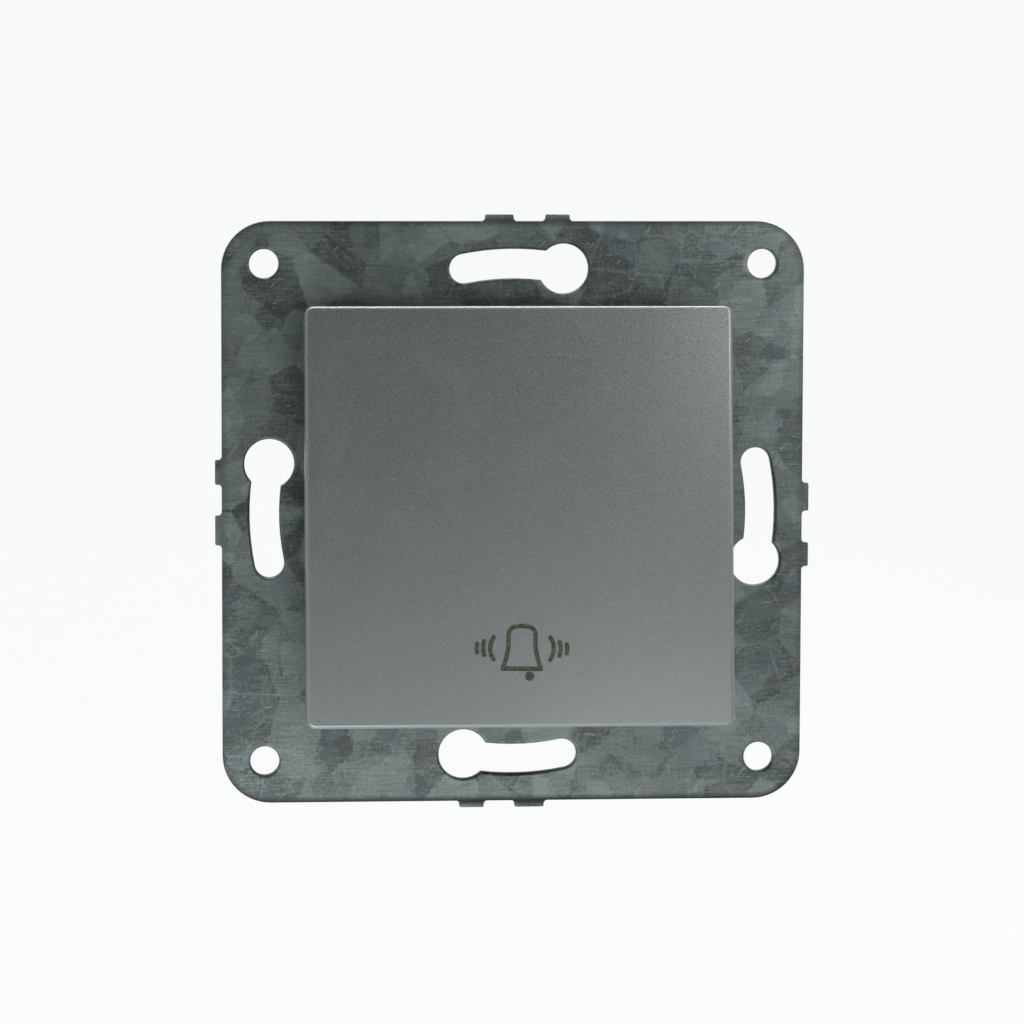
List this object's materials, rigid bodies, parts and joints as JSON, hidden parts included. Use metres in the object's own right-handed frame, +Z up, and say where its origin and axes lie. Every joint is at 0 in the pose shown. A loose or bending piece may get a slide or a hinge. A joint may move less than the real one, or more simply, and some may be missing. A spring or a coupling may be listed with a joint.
{
  "type": "doorbell push button",
  "caption": "Flush doorbell push button for a round wall box: square key with a bell symbol on a galvanised steel plate, tipping key, closing contact and spreader claws.",
  "frame": {"origin": "centre of the mounting plate's front face", "axes": "+X to the right seen from the front, +Y into the wall, +Z up"},
  "size_m": [0.0718, 0.0373, 0.0718],
  "materials": {
    "galvanised_steel": "hot-dip galvanised sheet with a zinc spangle and fine rolling lines",
    "key_lacquer": "satin aluminium-coloured metallic lacquer on plastic",
    "carrier_plastic": "moulded, fine matt",
    "frame_plastic": "moulded, fine matt",
    "housing_plastic": "moulded, fine matt",
    "spring_steel": "bright spring wire",
    "contact_brass": "stamped sheet",
    "contact_silver": "plain contact metal",
    "zinc_plated_screw": "zinc plated",
    "pin_steel": "ground",
    "claw_steel": "zinc-plated stamped strip"
  },
  "bodies": {
    "insert": {"mounting_plate": "galvanised_steel", "bearing_frame": "frame_plastic", "housing": "housing_plastic", "rear_cover": "housing_plastic", "return_spring_left": "spring_steel", "return_spring_right": "spring_steel", "contact_spring": "spring_steel", "lever_pin": "pin_steel", "common_strip": "contact_brass", "fixed_contact_strip": "contact_brass", "fixed_contact": "contact_silver", "claw_pin_left": "pin_steel", "claw_pin_right": "pin_steel"},
    "key": {"key_cap": "key_lacquer", "rocker": "carrier_plastic"},
    "contact_arm": {"contact_lever": "contact_brass", "moving_contact": "contact_silver"},
    "claw_screw_left": {"claw_screw_left": "zinc_plated_screw"},
    "claw_bridge_left": {"claw_bridge_left": "claw_steel"},
    "claw_left": {"claw_left": "claw_steel"},
    "claw_screw_right": {"claw_screw_right": "zinc_plated_screw"},
    "claw_bridge_right": {"claw_bridge_right": "claw_steel"},
    "claw_right": {"claw_right": "claw_steel"},
    "terminal_screw_top": {"terminal_screw_top": "zinc_plated_screw"},
    "terminal_cage_top": {"terminal_cage_top": "contact_brass"},
    "terminal_screw_bottom": {"terminal_screw_bottom": "zinc_plated_screw"},
    "terminal_cage_bottom": {"terminal_cage_bottom": "contact_brass"}
  },
  "joints": [
    {"name": "key_press", "type": "hinge", "parent": "insert", "child": "key", "pos_m": [0, -0.0055, 0], "axis": [1, 0, 0], "range_deg": [0, 6.4], "stiffness_Nm_per_rad": 0.27, "springref_deg": -6.3, "deforming": ["return_spring_left", "return_spring_right"]},
    {"name": "contact_swing", "type": "hinge", "parent": "insert", "child": "contact_arm", "pos_m": [0, 0.006, 0.009], "axis": [1, 0, 0], "range_deg": [0, 3.41], "deforming": ["contact_spring"]},
    {"name": "claw_screw_left_turn", "type": "hinge", "parent": "insert", "child": "claw_screw_left", "pos_m": [-0.0175, 0, 0], "axis": [0, 1, 0], "range_deg": [0, 1428]},
    {"name": "claw_bridge_left_slide", "type": "slide", "parent": "insert", "child": "claw_bridge_left", "axis": [0, -1, 0], "range_m": [0, 0.00198]},
    {"name": "claw_left_spread", "type": "hinge", "parent": "insert", "child": "claw_left", "pos_m": [-0.0226, 0.017, 0], "axis": [0, 0, -1], "range_deg": [0, 22.01]},
    {"name": "claw_screw_right_turn", "type": "hinge", "parent": "insert", "child": "claw_screw_right", "pos_m": [0.0175, 0, 0], "axis": [0, 1, 0], "range_deg": [0, 1428]},
    {"name": "claw_bridge_right_slide", "type": "slide", "parent": "insert", "child": "claw_bridge_right", "axis": [0, -1, 0], "range_m": [0, 0.00198]},
    {"name": "claw_right_spread", "type": "hinge", "parent": "insert", "child": "claw_right", "pos_m": [0.0226, 0.017, 0], "axis": [0, 0, 1], "range_deg": [0, 22.01]},
    {"name": "terminal_screw_top_turn", "type": "hinge", "parent": "insert", "child": "terminal_screw_top", "pos_m": [0, 0.0175, 0.0145], "axis": [0, 0, -1], "range_deg": [0, 1980.5]},
    {"name": "terminal_cage_top_rise", "type": "slide", "parent": "insert", "child": "terminal_cage_top", "axis": [0, 0, 1], "range_m": [0, 0.0033]},
    {"name": "terminal_screw_bottom_turn", "type": "hinge", "parent": "insert", "child": "terminal_screw_bottom", "pos_m": [0, 0.0175, -0.0145], "axis": [0, 0, 1], "range_deg": [0, 1980.5]},
    {"name": "terminal_cage_bottom_rise", "type": "slide", "parent": "insert", "child": "terminal_cage_bottom", "axis": [0, 0, -1], "range_m": [0, 0.0033]}
  ],
  "couplings": [
    {"joint": "contact_swing", "follows": "key_press", "ratio": 0.53187},
    {"joint": "claw_screw_left_turn", "follows": "claw_bridge_left_slide", "rad_per_m": 12566},
    {"joint": "claw_left_spread", "follows": "claw_bridge_left_slide", "rad_per_m": 193.66},
    {"joint": "claw_screw_right_turn", "follows": "claw_bridge_right_slide", "rad_per_m": 12566},
    {"joint": "claw_right_spread", "follows": "claw_bridge_right_slide", "rad_per_m": 193.66},
    {"joint": "terminal_screw_top_turn", "follows": "terminal_cage_top_rise", "rad_per_m": 10472},
    {"joint": "terminal_screw_bottom_turn", "follows": "terminal_cage_bottom_rise", "rad_per_m": 10472}
  ]
}
